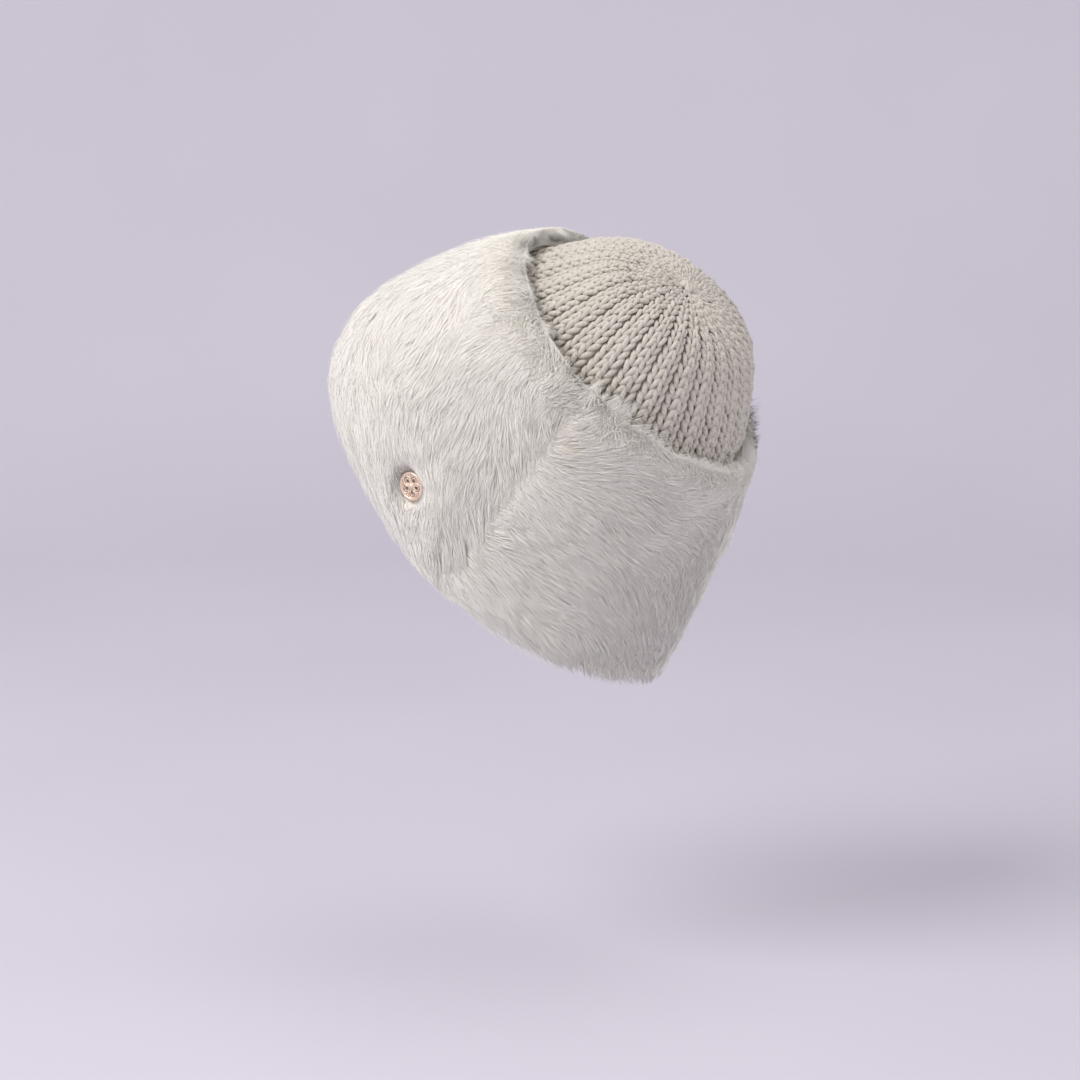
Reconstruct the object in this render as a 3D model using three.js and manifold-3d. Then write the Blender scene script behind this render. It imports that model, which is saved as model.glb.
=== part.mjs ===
// A winter beanie in the shape a head gives it: a ribbed knit crown over a deep fur band, low at the nape.
// Millimetres, +Z up. The wearer faces -Y and the wearer's left is +X.
// The origin is the middle of the head opening, inside the band's lower rim.
import * as THREE from 'three';
import { mergeVertices } from 'three/addons/utils/BufferGeometryUtils.js';
import Module from 'manifold-3d';

const wasm = await Module();
wasm.setup();

// Driving dimensions
const PIECE_GAP = 0.4;
const BACKING_WALL = 2.5;
const KNIT_WALL = 6;
const RIB_COUNT = 28;
const GROOVE_DEPTH = 2.8;
const FUR_DEPTH = 9.5;
const FUR_LIP_DEPTH = 4;
const FUR_UPPER_OVERHANG = 0.035;
const FUR_CURL = 1.2;
const FUR_LIP_BLUNTNESS = 5;
const BROW_THINNING = 0.75;
const BROW_THIN_SHARE = 0.15;
const BROW_THIN_FROM_SEAM = 25;
const SWELL_HEIGHT = 0.7;
const PANEL_HALF_LENGTH = 135;
const CREASE_DEPTH = 3.6;
const CREASE_HALF_WIDTH = 7;
const RIDGE_HEIGHT = 3;
const RIDGE_HALF_WIDTH = 9;
const RIDGE_SHARE = 0.27;
const RIDGE_SHARE_SPREAD = 0.14;
const SEAM_HOLLOW_DEPTH = 2.2;
const SEAM_HOLLOW_WIDTH = 16;
const LOCK_REACH = 0.9;
const LOCK_WIDTH = 38;
const LOCK_HEIGHT = 2.8;
const LOCK_ROOT = 3;
const LOCK_TIP_SINK = 1.6;
const LOCK_FLOOR = 0.5;
const ORNAMENT_RADIUS = 8;
const ORNAMENT_STAND = 4.5;
const ORNAMENT_SHARE = 0.31;
const ORNAMENT_ANGLE = 78;
const PETAL_COUNT = 5;
const PETAL_NARROWING = 0.85;
const RIM_WIRE = 0.9;
const PETAL_WIRE = 0.6;
const BOSS_RADIUS = 2;
const BOSS_TOP_RADIUS = 1.2;
const BOSS_SHOULDER = 1.2;
const BOSS_HEIGHT = 1.45;
const POST_RADIUS = 1.6;
const POST_HOLE_RADIUS = POST_RADIUS + PIECE_GAP;
const PIT_FLOOR_RADIUS = 8.6;
const PIT_MOUTH_RADIUS = 15;

// Steps of the faceted surfaces
const BAND_STEPS = 9;
const PANEL_STEPS = 16;
const CROWN_STEPS = 9;
const HOLLOW_STEPS = 5;
const HOLLOW_START_SHARE = -0.05;
const HOLLOW_SIDES = 28;
const POST_SIDES = 8;
const PIT_SIDES = 20;
const RIM_SECTIONS = 4;
const RIM_SIDES = 14;
const PETAL_SECTIONS = 3;
const PETAL_SIDES = 6;
const NORMAL_STEP = 0.001;

// Rings of the band's cloth, from the rim to the upper edge. y and z place a ring's centre and tilt leans its
// plane back, in degrees. front, back and side are half axes, and lift raises the ring's two sides.
const BAND_RINGS = [
  { at: 'rim', y: 0, z: 0, tilt: 33, front: 87, back: 95, side: 73, lift: -3 },
  { at: 'brow', y: -3, z: 22, tilt: 33, front: 97, back: 104, side: 78, lift: -1 },
  { at: 'forehead', y: 1, z: 47, tilt: 33, front: 113, back: 112, side: 82, lift: 0 },
  { at: 'ear', y: 14, z: 71, tilt: 35, front: 114, back: 111, side: 84, lift: 0 },
  { at: 'temple', y: 33, z: 91, tilt: 38, front: 105, back: 103, side: 84, lift: -1 },
  { at: 'top_front', y: 52, z: 107, tilt: 42, front: 94, back: 92, side: 82, lift: -1 },
  { at: 'upper_edge', y: 70, z: 119, tilt: 46, front: 83, back: 83, side: 79, lift: -2 },
];

// Rings of the crown's outer face, from the edge tucked inside the band to the middle of the gathered top.
const CROWN_RINGS = [
  { at: 'tucked_edge', y: 61, z: 111, tilt: 44, front: 84, back: 83, side: 77, lift: -2 },
  { at: 'band_edge', y: 71, z: 120, tilt: 46, front: 79, back: 79, side: 75, lift: -2 },
  { at: 'bulge', y: 81, z: 131, tilt: 46, front: 70, back: 73, side: 74, lift: -3 },
  { at: 'shoulder', y: 91, z: 143, tilt: 45, front: 59, back: 62, side: 68, lift: -2 },
  { at: 'top', y: 100, z: 155, tilt: 43, front: 43, back: 47, side: 54, lift: 0 },
  { at: 'gather', y: 104, z: 161, tilt: 42, front: 20, back: 23, side: 29, lift: 0 },
  { at: 'middle', y: 104, z: 161, tilt: 42, front: 0, back: 0, side: 0, lift: 0 },
];
const RING_KEYS = ['y', 'z', 'tilt', 'front', 'back', 'side', 'lift'];

// Angle of the side seam from the front, in degrees, at even steps from the rim to the upper edge.
const SEAM_ANGLES = [84, 96, 102, 101, 99];
const SEAM_GAP_ANGLE = 0.25;

// One rib across: turn is the share of the rib's width and depth the share of the groove's depth.
const RIB_PROFILE = [
  { at: 'groove', turn: 0, depth: 1 },
  { at: 'near_flank', turn: 0.2, depth: 0.15 },
  { at: 'crest', turn: 0.5, depth: 0 },
  { at: 'far_flank', turn: 0.8, depth: 0.15 },
];
// Every second groove closes at this share of the way up the crown, and the rest at the top.
const MERGE_SHARE = 0.66;
const GROOVE_END_SHARE = 0.93;
const GROOVE_FADE = 0.12;

// Rows of fur locks. share is where a lock springs from, count how many go round a panel, lean how far its tip
// is carried towards the panel's middle (mm), length its share of the band, height its share of the lock
// height, and down is 1, or -1 for a lock that points up.
const LOCK_ROWS = [
  { at: 'rim_fringe', share: 0.36, count: 11, lean: 9, length: 0.38, height: 1, down: 1 },
  { at: 'middle', share: 0.69, count: 10, lean: 11, length: 0.4, height: 1.1, down: 1 },
  { at: 'high', share: 0.99, count: 11, lean: 10, length: 0.37, height: 1, down: 1 },
  { at: 'upper_fringe', share: 0.93, count: 7, lean: 3, length: 0.12, height: 0.9, down: -1 },
];

// One lock along its length: width and crest are shares of the lock's width and height.
const LOCK_STATIONS = [
  { at: 'root', along: 0, width: 0.5, crest: -0.4 },
  { at: 'belly', along: 0.25, width: 1, crest: 0.7 },
  { at: 'middle', along: 0.5, width: 0.95, crest: 1 },
  { at: 'neck', along: 0.78, width: 0.65, crest: 1 },
];

// Two waves that cross to make the pile's slow swells, in radians over half a panel and over the band's width.
const SWELL_WAVES = [
  { at: 'leaning_forward', round: 9, share: 5 },
  { at: 'leaning_back', round: -4, share: 8 },
];

// A smooth curve through evenly spaced values, read at a share from 0 to 1 and straight past its ends.
function smoothThrough(values, share) {
  const last = values.length - 1;
  if (share < 0) return values[0] + share * last * (values[1] - values[0]);
  if (share >= 1) return values[last] + (share - 1) * last * (values[last] - values[last - 1]);
  const i = Math.floor(share * last);
  const t = share * last - i;
  const before = i > 0 ? values[i - 1] : 2 * values[0] - values[1];
  const after = i + 2 <= last ? values[i + 2] : 2 * values[last] - values[last - 1];
  const slopeIn = (values[i + 1] - before) / 2;
  const slopeOut = (after - values[i]) / 2;
  const rise = values[i + 1] - values[i];
  const bend = 3 * rise - 2 * slopeIn - slopeOut;
  const twist = slopeIn + slopeOut - 2 * rise;
  return values[i] + t * (slopeIn + t * (bend + t * twist));
}

// A point of a table's surface. Angle 0 is the front and a quarter turn is the wearer's left.
function surfacePoint(rings, share, angle) {
  const ring = {};
  for (const key of RING_KEYS) ring[key] = smoothThrough(rings.map((row) => row[key]), share);
  const forward = Math.cos(angle);
  const left = Math.sin(angle);
  const along = -forward * (forward > 0 ? ring.front : ring.back);
  const lift = ring.lift * left * left;
  const tilt = THREE.MathUtils.degToRad(ring.tilt);
  return new THREE.Vector3(
    left * ring.side,
    ring.y + along * Math.cos(tilt) + lift * Math.sin(tilt),
    ring.z - along * Math.sin(tilt) + lift * Math.cos(tilt),
  );
}

// The outward normal of a table's surface, from two short steps along it.
function surfaceNormal(rings, share, angle) {
  const above = surfacePoint(rings, share + NORMAL_STEP, angle);
  const below = surfacePoint(rings, share - NORMAL_STEP, angle);
  const after = surfacePoint(rings, share, angle + NORMAL_STEP);
  const before = surfacePoint(rings, share, angle - NORMAL_STEP);
  return after.sub(before).cross(above.sub(below)).normalize();
}

function offsetPoint(rings, share, angle, offset) {
  return surfacePoint(rings, share, angle).addScaledVector(surfaceNormal(rings, share, angle), offset);
}

// Adds a four-cornered face, listed anticlockwise as seen from outside.
function addFace(corners, a, b, c, d) {
  corners.push(a, b, c, a, c, d);
}

// A solid from loose triangles: equal corners are welded and triangles with no area dropped.
function solidOf(corners) {
  const welded = mergeVertices(new THREE.BufferGeometry().setFromPoints(corners));
  const index = welded.index.array;
  const kept = [];
  for (let i = 0; i < index.length; i += 3) {
    const [a, b, c] = [index[i], index[i + 1], index[i + 2]];
    if (a !== b && b !== c && c !== a) kept.push(a, b, c);
  }
  const vertProperties = new Float32Array(welded.attributes.position.array);
  return new wasm.Manifold(new wasm.Mesh({ numProp: 3, vertProperties, triVerts: new Uint32Array(kept) }));
}

// A solid from one of the library's closed shapes, placed by a matrix.
function solidOfShape(geometry, matrix) {
  const placed = geometry.clone().applyMatrix4(matrix).toNonIndexed();
  const corners = [];
  for (let i = 0; i < placed.attributes.position.count; i += 1) {
    corners.push(new THREE.Vector3().fromBufferAttribute(placed.attributes.position, i));
  }
  return solidOf(corners);
}

// A wall between two grids of points, rows upwards and columns round. An open wall is capped at both ends.
function wall(outer, inner, closed) {
  const corners = [];
  const top = outer.length - 1;
  const count = outer[0].length;
  const spans = closed ? count : count - 1;
  for (let j = 0; j < spans; j += 1) {
    const k = (j + 1) % count;
    addFace(corners, inner[0][j], inner[0][k], outer[0][k], outer[0][j]);
    addFace(corners, outer[top][j], outer[top][k], inner[top][k], inner[top][j]);
    for (let i = 0; i < top; i += 1) {
      addFace(corners, outer[i][j], outer[i][k], outer[i + 1][k], outer[i + 1][j]);
      addFace(corners, inner[i][j], inner[i + 1][j], inner[i + 1][k], inner[i][k]);
    }
  }
  if (!closed) {
    const end = count - 1;
    for (let i = 0; i < top; i += 1) {
      addFace(corners, inner[i][0], outer[i][0], outer[i + 1][0], inner[i + 1][0]);
      addFace(corners, outer[i][end], inner[i][end], inner[i + 1][end], outer[i + 1][end]);
    }
  }
  return solidOf(corners);
}

// A dome from a grid whose last row is a single point, closed underneath by a fan of faces.
function dome(grid) {
  const corners = [];
  const count = grid[0].length;
  const middle = new THREE.Vector3();
  for (const point of grid[0]) middle.addScaledVector(point, 1 / count);
  for (let j = 0; j < count; j += 1) {
    const k = (j + 1) % count;
    corners.push(middle, grid[0][k], grid[0][j]);
    for (let i = 0; i + 1 < grid.length; i += 1) {
      addFace(corners, grid[i][j], grid[i][k], grid[i + 1][k], grid[i + 1][j]);
    }
  }
  return solidOf(corners);
}

function evenSteps(from, to, steps) {
  return Array.from({ length: steps + 1 }, (_, i) => from + ((to - from) * i) / steps);
}

// Angle of a place on a panel: round runs from -1 to 1 between the panel's two seams.
function panelAngle(panel, round, share) {
  const seam = smoothThrough(SEAM_ANGLES, share);
  const half = (panel === 'front' ? seam : 180 - seam) - SEAM_GAP_ANGLE;
  const middle = panel === 'front' ? 0 : 180;
  return THREE.MathUtils.degToRad(middle + round * half);
}

function hump(distance, halfWidth) {
  return Math.exp(-((distance / halfWidth) ** 2));
}

// Depth of the pile over the backing: blunt lips at both edges, a crease at the seams, the front panel's edge
// standing proud of the rear panel low down, slow swells all over, and a front panel that thins to its rim.
function furDepth(panel, round, share) {
  const across = share / (1 + FUR_UPPER_OVERHANG);
  const bulge = Math.sqrt(Math.max(0, 1 - Math.abs(2 * across - 1) ** FUR_LIP_BLUNTNESS));
  const waves = SWELL_WAVES.map((wave) => Math.sin(wave.round * round + wave.share * share));
  const swell = SWELL_HEIGHT * waves[0] * waves[1];
  const fromSeam = (1 - Math.abs(round)) * PANEL_HALF_LENGTH;
  const crease = CREASE_DEPTH * hump(fromSeam, CREASE_HALF_WIDTH);
  const lowDown = hump(share - RIDGE_SHARE, RIDGE_SHARE_SPREAD);
  const ridge = RIDGE_HEIGHT * lowDown * hump(fromSeam - RIDGE_HALF_WIDTH, RIDGE_HALF_WIDTH);
  const hollow = SEAM_HOLLOW_DEPTH * lowDown * hump(fromSeam, SEAM_HOLLOW_WIDTH);
  const atSeam = panel === 'front' ? ridge : -hollow;
  const atBrow = panel === 'front' ? 1 - hump(fromSeam, BROW_THIN_FROM_SEAM) : 0;
  const kept = 1 - BROW_THINNING * atBrow * hump(share, BROW_THIN_SHARE);
  return kept * (FUR_LIP_DEPTH + (FUR_DEPTH - FUR_LIP_DEPTH + swell - crease + atSeam) * bulge);
}

// A long flat lock lying along the pile, three-sided in section, whose root and tip sink into the pile.
function lock(panel, round, row) {
  const place = (along, aside, height) => {
    const share = row.share - row.down * row.length * along;
    const carried = aside - Math.sign(round) * row.lean * along;
    const at = THREE.MathUtils.clamp(round + carried / PANEL_HALF_LENGTH, -1, 1);
    const angle = panelAngle(panel, at, share);
    const depth = Math.max(LOCK_FLOOR, furDepth(panel, at, share) + height);
    return offsetPoint(BAND_RINGS, share, angle, PIECE_GAP + depth);
  };
  const sections = LOCK_STATIONS.map((station) => {
    const half = (row.down * station.width * LOCK_WIDTH) / 2;
    return [
      place(station.along, -half, -LOCK_ROOT),
      place(station.along, half, -LOCK_ROOT),
      place(station.along, 0, station.crest * row.height * LOCK_HEIGHT),
    ];
  });
  const tip = place(1, 0, -LOCK_TIP_SINK);
  const corners = [];
  const last = sections.length - 1;
  for (let j = 0; j < 3; j += 1) {
    const k = (j + 1) % 3;
    for (let i = 0; i < last; i += 1) {
      addFace(corners, sections[i][j], sections[i][k], sections[i + 1][k], sections[i + 1][j]);
    }
    corners.push(sections[last][j], sections[last][k], tip);
  }
  const [left, right, crest] = sections[0];
  corners.push(crest, right, left);
  return solidOf(corners);
}

// Band backing: a plain cloth tube with a hole for the ornament's post
const bandShares = evenSteps(0, 1, BAND_STEPS);
const rounds = evenSteps(-1, 1, PANEL_STEPS);
function bandGrid(shares, offset) {
  const places = [];
  for (const panel of ['front', 'back']) {
    for (const round of rounds.slice(0, -1)) places.push([panel, round]);
  }
  return shares.map((share) => places.map(([panel, round]) => (
    offsetPoint(BAND_RINGS, share, panelAngle(panel, round, share), offset))));
}

// The ornament's own frame on the band: its third axis points out of the band and its second up the band
const ornamentAngle = THREE.MathUtils.degToRad(ORNAMENT_ANGLE);
const seatPoint = surfacePoint(BAND_RINGS, ORNAMENT_SHARE, ornamentAngle);
const seatOut = surfaceNormal(BAND_RINGS, ORNAMENT_SHARE, ornamentAngle);
const seatAside = surfacePoint(BAND_RINGS, ORNAMENT_SHARE + NORMAL_STEP, ornamentAngle)
  .sub(seatPoint).cross(seatOut).normalize();
const seatUp = new THREE.Vector3().crossVectors(seatOut, seatAside);
const seatMatrix = new THREE.Matrix4().makeBasis(seatAside, seatUp, seatOut).setPosition(seatPoint);

// A turned shape standing on the ornament's seat. The profile lists radius and height over the backing.
function turned(profile, sides, placed = new THREE.Matrix4()) {
  const points = profile.map(([radius, height]) => new THREE.Vector2(radius, height));
  const upright = new THREE.Matrix4().makeRotationX(Math.PI / 2);
  const matrix = new THREE.Matrix4().multiplyMatrices(seatMatrix, placed).multiply(upright);
  return solidOfShape(new THREE.LatheGeometry(points, sides), matrix);
}

// A plain round plug from one height to another, used for the post and for the holes.
function plug(lowRadius, highRadius, low, high, sides) {
  return turned([[0, low], [lowRadius, low], [highRadius, high], [0, high]], sides);
}

// A round wire bent into a ring.
function wireRing(ringRadius, wireRadius, sections, sides, placed) {
  const profile = evenSteps(0, 2 * Math.PI, sections).map((turn) => (
    [ringRadius + wireRadius * Math.cos(turn), wireRadius * Math.sin(turn)]));
  return turned(profile, sides, placed);
}

const postHole = plug(POST_HOLE_RADIUS, POST_HOLE_RADIUS, -2 * BACKING_WALL, BACKING_WALL, POST_SIDES);
const bandTube = wall(bandGrid(bandShares, 0), bandGrid(bandShares, -BACKING_WALL), true);
const bandBacking = bandTube.subtract(postHole);

// Fur panels: a pile that curls over the backing's upper edge, locks fused to it, and a pit round the ornament
const furShares = [...bandShares, 1 + FUR_UPPER_OVERHANG];
function furPanel(panel) {
  const grid = (offsetAt) => furShares.map((share) => rounds.map((round) => (
    offsetPoint(BAND_RINGS, share, panelAngle(panel, round, share), offsetAt(round, share)))));
  const tips = grid((round, share) => PIECE_GAP + furDepth(panel, round, share));
  const roots = grid((round, share) => (share > 1 ? -FUR_CURL : PIECE_GAP));
  let pile = wall(tips, roots, false);
  for (const row of LOCK_ROWS) {
    for (const round of evenSteps(-LOCK_REACH, LOCK_REACH, row.count - 1)) {
      pile = pile.add(lock(panel, round, row));
    }
  }
  return pile;
}
const pit = plug(PIT_FLOOR_RADIUS, PIT_MOUTH_RADIUS, -BACKING_WALL, 2 * FUR_DEPTH, PIT_SIDES);
const furFront = furPanel('front').subtract(pit);
const furBack = furPanel('back');

// Knit crown: a ribbed dome hollowed by a plain one
function grooveFade(rib, share) {
  const end = rib % 2 ? MERGE_SHARE : GROOVE_END_SHARE;
  return THREE.MathUtils.clamp((end - share) / GROOVE_FADE, 0, 1);
}
const crownTop = CROWN_RINGS[CROWN_RINGS.length - 1];
const topTilt = THREE.MathUtils.degToRad(crownTop.tilt);
const ribbedGrid = evenSteps(0, 1, CROWN_STEPS).map((share) => {
  const row = [];
  for (let rib = 0; rib < RIB_COUNT; rib += 1) {
    for (const place of RIB_PROFILE) {
      const angle = ((rib + place.turn) / RIB_COUNT) * 2 * Math.PI;
      const depth = place.depth * GROOVE_DEPTH * grooveFade(rib, share);
      const onCrest = surfacePoint(CROWN_RINGS, share, angle);
      row.push(depth > 0 ? offsetPoint(CROWN_RINGS, share, angle, -depth) : onCrest);
    }
  }
  return row;
});
const hollowGrid = evenSteps(HOLLOW_START_SHARE, 1, HOLLOW_STEPS).map((share) => {
  const angles = evenSteps(0, 2 * Math.PI, HOLLOW_SIDES).slice(0, -1);
  if (share < 1) return angles.map((angle) => offsetPoint(CROWN_RINGS, share, angle, -KNIT_WALL));
  const height = crownTop.z - KNIT_WALL * Math.cos(topTilt);
  return angles.map(() => new THREE.Vector3(0, crownTop.y - KNIT_WALL * Math.sin(topTilt), height));
});
const knitCrown = dome(ribbedGrid).subtract(dome(hollowGrid));

// Ornament: a wire rim, a ring of wire petals and a domed middle on a post through the backing
const atFace = new THREE.Matrix4().makeTranslation(0, 0, ORNAMENT_STAND);
let ornament = wireRing(ORNAMENT_RADIUS - RIM_WIRE, RIM_WIRE, RIM_SECTIONS, RIM_SIDES, atFace);
const petalReach = (ORNAMENT_RADIUS - RIM_WIRE) / 2;
for (let i = 0; i < PETAL_COUNT; i += 1) {
  const petal = new THREE.Matrix4().makeRotationZ((i / PETAL_COUNT) * 2 * Math.PI)
    .multiply(new THREE.Matrix4().makeTranslation(petalReach, 0, ORNAMENT_STAND))
    .multiply(new THREE.Matrix4().makeScale(1, PETAL_NARROWING, 1));
  ornament = ornament.add(wireRing(petalReach - PETAL_WIRE, PETAL_WIRE, PETAL_SECTIONS, PETAL_SIDES, petal));
}
ornament = ornament.add(turned([
  [0, -BACKING_WALL],
  [POST_RADIUS, -BACKING_WALL],
  [POST_RADIUS, ORNAMENT_STAND - RIM_WIRE],
  [BOSS_RADIUS, ORNAMENT_STAND],
  [BOSS_TOP_RADIUS, ORNAMENT_STAND + BOSS_SHOULDER],
  [0, ORNAMENT_STAND + BOSS_HEIGHT],
], POST_SIDES));

// The named pieces, each with its own colour
function piece(name, solid, colour, roughness, metalness) {
  const { vertProperties, triVerts } = solid.getMesh();
  const geometry = new THREE.BufferGeometry();
  geometry.setAttribute('position', new THREE.BufferAttribute(vertProperties, 3));
  geometry.setIndex(new THREE.BufferAttribute(triVerts, 1));
  geometry.computeVertexNormals();
  const material = new THREE.MeshStandardMaterial({ color: colour, roughness, metalness });
  const mesh = new THREE.Mesh(geometry, material);
  mesh.name = name;
  return mesh;
}

const beanie = new THREE.Group();
beanie.name = 'beanie';
beanie.add(
  piece('knit_crown', knitCrown, 0xdcd4c8, 0.95, 0),
  piece('band_backing', bandBacking, 0xe6e1d8, 0.9, 0),
  piece('fur_front', furFront, 0xefece6, 0.95, 0),
  piece('fur_back', furBack, 0xebe7e0, 0.95, 0),
  piece('ornament', ornament, 0xbf9078, 0.35, 0.9),
);

export default beanie;
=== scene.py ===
"""Looks of a winter beanie: a knit crown of yarn stitches, a deep fur band and a small openwork ornament.

Metres, +Z up. The wearer faces -Y and the wearer's left is +X. Angles round the head start at the front.
"""
import math

import bpy
import numpy as np
from mathutils import Matrix, Vector
from mathutils.kdtree import KDTree


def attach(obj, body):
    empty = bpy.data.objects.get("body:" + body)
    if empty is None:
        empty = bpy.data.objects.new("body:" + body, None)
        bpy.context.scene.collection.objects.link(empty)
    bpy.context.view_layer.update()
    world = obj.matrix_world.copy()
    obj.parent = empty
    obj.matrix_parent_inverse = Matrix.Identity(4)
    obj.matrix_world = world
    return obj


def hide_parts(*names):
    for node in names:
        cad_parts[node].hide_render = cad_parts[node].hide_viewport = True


scene = bpy.context.scene
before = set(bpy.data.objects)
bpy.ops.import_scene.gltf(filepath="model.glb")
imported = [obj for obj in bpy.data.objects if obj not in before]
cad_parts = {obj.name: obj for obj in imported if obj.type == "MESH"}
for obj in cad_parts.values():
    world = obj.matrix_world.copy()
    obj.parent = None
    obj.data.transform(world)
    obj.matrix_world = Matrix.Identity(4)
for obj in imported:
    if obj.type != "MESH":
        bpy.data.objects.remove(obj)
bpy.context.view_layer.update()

# Seeds of everything that is drawn at random
FUR_SEED = 11
TUFT_SEED = 23
FRINGE_EDGE_SEED = 24
FRINGE_LEAN_SEED = 25
YARN_SEED = 37

# Band: cloth, fur pile and seams
BACKING_WALL = 0.0025
PIECE_GAP = 0.0004
FUR_DEPTH = 0.0095
FUR_LIP_DEPTH = 0.004
FUR_UPPER_OVERHANG = 0.035
FUR_CURL = 0.0012
FRONT_EDGE_SHARE = 1.02
FUR_LIP_BLUNTNESS = 5
BROW_THINNING = 0.75
BROW_THIN_SHARE = 0.15
BROW_THIN_FROM_SEAM = 0.025
SWELL_HEIGHT = 0.0007
# The two waves of the swell, in radians round half a panel and up the band
SWELL_WAVES = ((9, 5), (-4, 8))
PANEL_HALF_LENGTH = 0.135
CREASE_DEPTH = 0.0036
CREASE_HALF_WIDTH = 0.007
RIDGE_HEIGHT = 0.003
RIDGE_HALF_WIDTH = 0.009
RIDGE_SHARE = 0.27
RIDGE_SHARE_SPREAD = 0.14
SEAM_HOLLOW_DEPTH = 0.0022
SEAM_HOLLOW_WIDTH = 0.016
SEAM_ANGLES = (84, 96, 102, 101, 99)
SEAM_GAP_ANGLE = 0.25
PILE_SUNK = 0.0012
PILE_FLOOR = 0.0012
PILE_TONE = 0.85
PILE_TONE_SPREAD = 0.06
PILE_WAVE = 0.02
PILE_GRID = (40, 121)
BACKING_GRID = (25, 144)
# Square metres of the whole band, and at most for a unit of share and a radian
BAND_AREA = 0.1
BAND_AREA_BOUND = 0.028

# Rings of the band's cloth from the rim to the upper edge, and of the crown's outer face to its middle.
# y and z place a ring's centre, tilt leans its plane back in degrees, front, back and side are half axes,
# and lift raises the ring's two sides.
BAND_RINGS = (
    dict(at="rim", y=0.000, z=0.000, tilt=33, front=0.087, back=0.095, side=0.073, lift=-0.003),
    dict(at="brow", y=-0.003, z=0.022, tilt=33, front=0.097, back=0.104, side=0.078, lift=-0.001),
    dict(at="forehead", y=0.001, z=0.047, tilt=33, front=0.113, back=0.112, side=0.082, lift=0.000),
    dict(at="ear", y=0.014, z=0.071, tilt=35, front=0.114, back=0.111, side=0.084, lift=0.000),
    dict(at="temple", y=0.033, z=0.091, tilt=38, front=0.105, back=0.103, side=0.084, lift=-0.001),
    dict(at="top_front", y=0.052, z=0.107, tilt=42, front=0.094, back=0.092, side=0.082, lift=-0.001),
    dict(at="upper_edge", y=0.070, z=0.119, tilt=46, front=0.083, back=0.083, side=0.079, lift=-0.002),
)
CROWN_RINGS = (
    dict(at="tucked_edge", y=0.061, z=0.111, tilt=44, front=0.084, back=0.083, side=0.077, lift=-0.002),
    dict(at="band_edge", y=0.071, z=0.120, tilt=46, front=0.079, back=0.079, side=0.075, lift=-0.002),
    dict(at="bulge", y=0.081, z=0.131, tilt=46, front=0.070, back=0.073, side=0.074, lift=-0.003),
    dict(at="shoulder", y=0.091, z=0.143, tilt=45, front=0.059, back=0.062, side=0.068, lift=-0.002),
    dict(at="top", y=0.100, z=0.155, tilt=43, front=0.043, back=0.047, side=0.054, lift=0.000),
    dict(at="gather", y=0.104, z=0.161, tilt=42, front=0.020, back=0.023, side=0.029, lift=0.000),
    dict(at="middle", y=0.104, z=0.161, tilt=42, front=0.000, back=0.000, side=0.000, lift=0.000),
)
RING_KEYS = ("y", "z", "tilt", "front", "back", "side", "lift")
SURFACE_STEP = 0.001
TINY = 1e-12
RIPPLE_COUNT = 7
RIPPLE_LENGTHS = (0.7, 1.5)

# Fur strands. Their stations, rise, swell and tones hold for a strand's root, its thickest place and its tip.
STRAND_COUNT = 105000
STRAND_RADIUS = 0.00017
STRAND_RADIUS_RANGE = (0.7, 1.25)
STRAND_LENGTH_FRONT = 0.022
STRAND_LENGTH_BACK = 0.017
STRAND_LENGTH_RANGE = (0.65, 1.15)
STRAND_STATIONS = (0.0, 0.42, 1.0)
STRAND_RISE = (0.0, 0.8, 1.0)
STRAND_SWELL = (0.0, 1.0, 0.0)
STRAND_TONES = (0.7, 0.92, 1.0)
STRAND_SIDES = 3
TUFT_SPACING = 0.0060
TUFT_PULL = 0.22
TUFT_PULL_POWER = 1.5
SEAM_TUFT_PULL = 0.5
SEAM_LOCK_WIDTH = 0.014
SEAM_OVERHANG_DROP = 0.001
TUFT_SPREAD = math.radians(8)
HAIR_SPREAD = math.radians(9)
TUFT_TONE_SPREAD = 0.035
HAIR_TONE_SPREAD = 0.03
TIP_PROUD = 0.0008
TIP_SPREAD = 0.0003
STRAY_SHARE = 0.04
STRAY_HEIGHT = 0.0022
FUR_SCATTER = 0.0012
BROW_RIM_REACH = 0.012
NAPE_RIM_REACH = -0.1
NAPE_RIM_POWER = 3
RIM_ANGLES = (70, 120)
ROOT_SINK = 0.0005
REAR_SEAM_SHORT = 0.3
REAR_SEAM_SHORT_WIDTH = 0.014
PIT_SHORT = 0.35
ORNAMENT_SHORTENINGS = (0.7, 0.45, 0.25)
PATH_SAMPLES = 6
BROW_ANGLE = 52
FRONT_TURN = math.radians(24)
FRONT_TURN_REACH = 0.7
FRONT_SEAM_TURN = math.radians(-6)
FRONT_SEAM_REACH = 0.8
REAR_TURN = math.radians(105)
REAR_TURN_FADE = 0.6
REAR_RIM_TURN_SHARE = 0.5
REAR_RIM_SHARE = 0.35
REAR_EDGE_TURN = math.radians(50)
REAR_EDGE_SHARES = (0.66, 1.0)
NAP_WANDER = math.radians(15)
NAP_WAVE = 0.050
NAP_CALM_REACH = 0.25

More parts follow.
